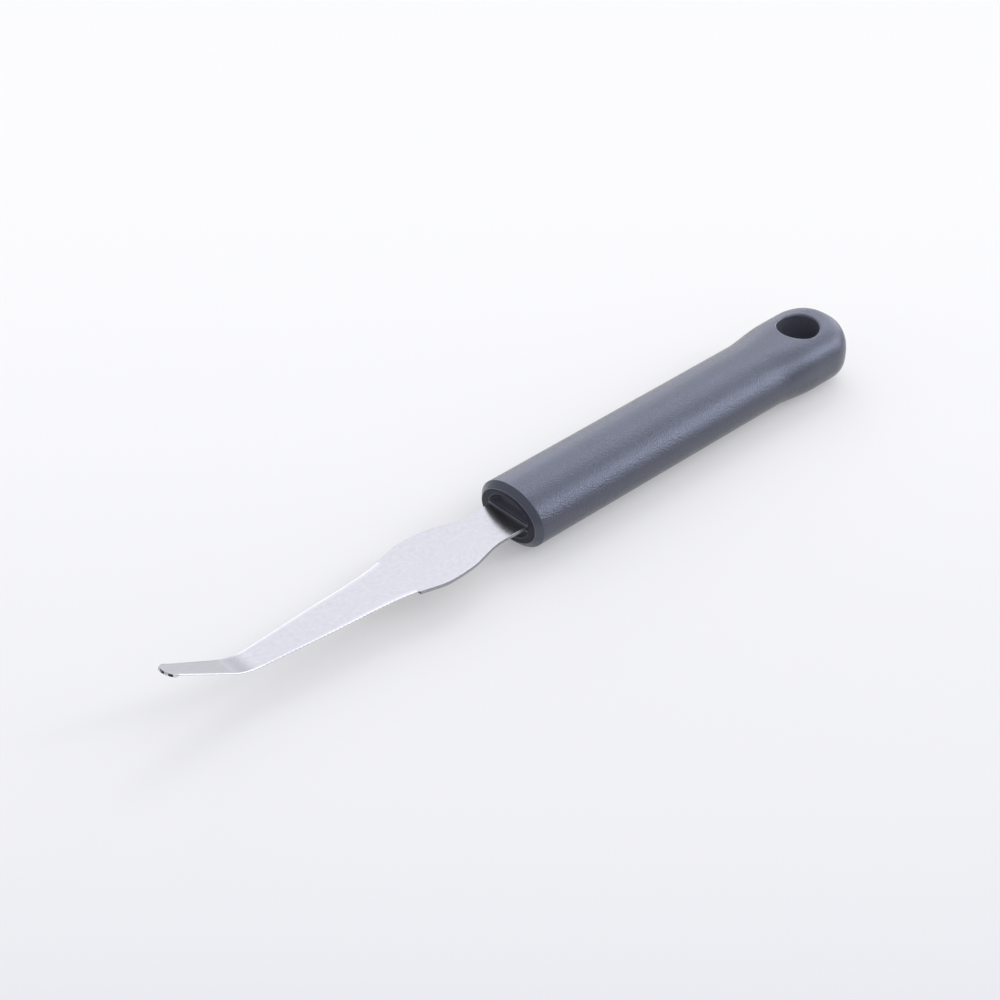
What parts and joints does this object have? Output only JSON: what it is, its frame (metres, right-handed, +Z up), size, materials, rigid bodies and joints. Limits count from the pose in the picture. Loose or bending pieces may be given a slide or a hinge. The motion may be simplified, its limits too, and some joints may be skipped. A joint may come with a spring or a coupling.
{
  "type": "grapefruit knife",
  "caption": "Grapefruit knife: a slim stamped blade with a wide belly, ground taper and upturned rounded tip, in a hollow oval plastic handle with a hang hole.",
  "frame": {"origin": "below the middle of the whole knife, on the surface that the handle's underside lies on", "axes": "+X along the handle from the blade's tip to the eye, +Z up from the blade's flat face, Y = 0 is the plane of symmetry"},
  "size_m": [0.1998, 0.021, 0.0187],
  "materials": {
    "satin_steel": "fine satin grain along the blade, with bright ground edges",
    "slate_plastic": "fine spark-eroded grain",
    "plug_plastic": "smooth matt"
  },
  "bodies": {
    "root": {"blade": "satin_steel", "front_plug": "plug_plastic", "handle_shell": "slate_plastic"}
  },
  "joints": []
}
